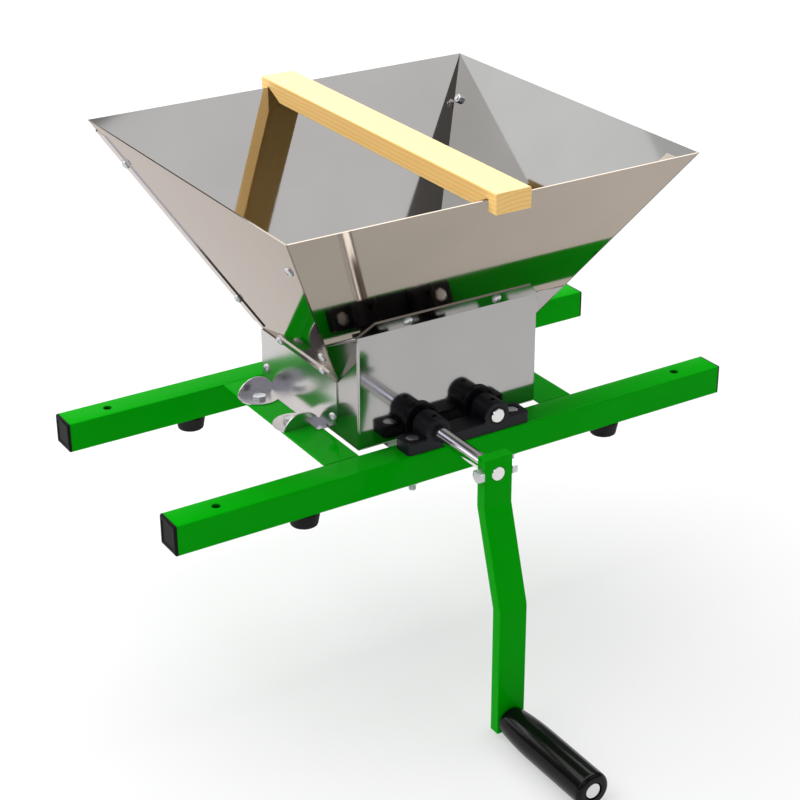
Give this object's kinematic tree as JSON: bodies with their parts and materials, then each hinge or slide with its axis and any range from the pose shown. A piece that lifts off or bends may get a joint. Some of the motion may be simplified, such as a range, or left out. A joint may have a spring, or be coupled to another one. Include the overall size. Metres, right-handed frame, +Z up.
{
  "type": "fruit crusher",
  "caption": "Hand-cranked fruit crusher: square-tube frame, flared sheet-steel hopper over geared toothed rollers, bent crank with spinning grip and a loose wooden bar.",
  "frame": {"origin": "middle of the four fixing holes, level with the tops of the frame tubes", "axes": "+X along the frame tubes, +Y away from the crank, +Z up"},
  "size_m": [0.514, 0.5086, 0.4313],
  "materials": {
    "green_paint": "gloss powder coat",
    "polished_sheet": "mirror polished",
    "cap_plastic": "satin moulded",
    "foot_rubber": "matte",
    "grip_plastic": "gloss",
    "pine": "planed, unvarnished",
    "block_plastic": "satin moulded",
    "bush_plastic": "smooth",
    "bright_shaft": "bright drawn",
    "roller_metal": "satin cast",
    "gear_steel": "machined",
    "zinc_fasteners": "zinc plated"
  },
  "bodies": {
    "frame": {"bearing_bushes": "bush_plastic", "block_bolts": "zinc_fasteners", "block_nuts": "zinc_fasteners", "ear_bolts": "zinc_fasteners", "ear_nuts": "zinc_fasteners", "foot_screws": "zinc_fasteners", "front_bearing_block": "block_plastic", "front_frame_tube": "green_paint", "hopper_front_panel": "polished_sheet", "hopper_left_panel": "polished_sheet", "hopper_rear_panel": "polished_sheet", "hopper_right_panel": "polished_sheet", "left_cross_bar": "green_paint", "rear_bearing_block": "block_plastic", "rear_frame_tube": "green_paint", "right_cross_bar": "green_paint", "rubber_feet": "foot_rubber", "sheet_nuts": "zinc_fasteners", "sheet_screws": "zinc_fasteners", "throat_front_panel": "polished_sheet", "throat_left_panel": "polished_sheet", "throat_rear_panel": "polished_sheet", "throat_right_panel": "polished_sheet", "tube_end_caps": "cap_plastic"},
    "drive": {"drive_shaft": "bright_shaft", "drive_toothed_discs": "roller_metal", "drive_spacers": "roller_metal", "drive_roller_pins": "zinc_fasteners", "drive_gear": "gear_steel", "drive_gear_screw": "zinc_fasteners", "crank_arm": "green_paint", "crank_cross_bolt": "zinc_fasteners", "crank_cross_nut": "zinc_fasteners", "grip_spindle": "bright_shaft", "grip_washer": "zinc_fasteners", "grip_nut": "zinc_fasteners"},
    "driven": {"driven_shaft": "bright_shaft", "driven_toothed_discs": "roller_metal", "driven_spacers": "roller_metal", "driven_roller_pins": "zinc_fasteners", "driven_gear": "gear_steel", "driven_gear_screw": "zinc_fasteners"},
    "grip": {"handle_grip": "grip_plastic"},
    "bar": {"wooden_bar": "pine"}
  },
  "joints": [
    {"name": "crank_turn", "type": "hinge", "parent": "frame", "child": "drive", "pos_m": [-0.0275, 0, 0.0139], "axis": [0, 1, 0], "continuous": true},
    {"name": "driven_turn", "type": "hinge", "parent": "frame", "child": "driven", "pos_m": [0.0275, 0, 0.0139], "axis": [0, 1, 0], "continuous": true},
    {"name": "grip_spin", "type": "hinge", "parent": "drive", "child": "grip", "pos_m": [-0.0275, -0.26, -0.1935], "axis": [0, 1, 0], "continuous": true},
    {"name": "bar_lift", "type": "slide", "parent": "frame", "child": "bar", "axis": [0, 0, 1], "range_m": [0, 0.12]}
  ],
  "couplings": [
    {"joint": "driven_turn", "follows": "crank_turn", "ratio": -1}
  ]
}
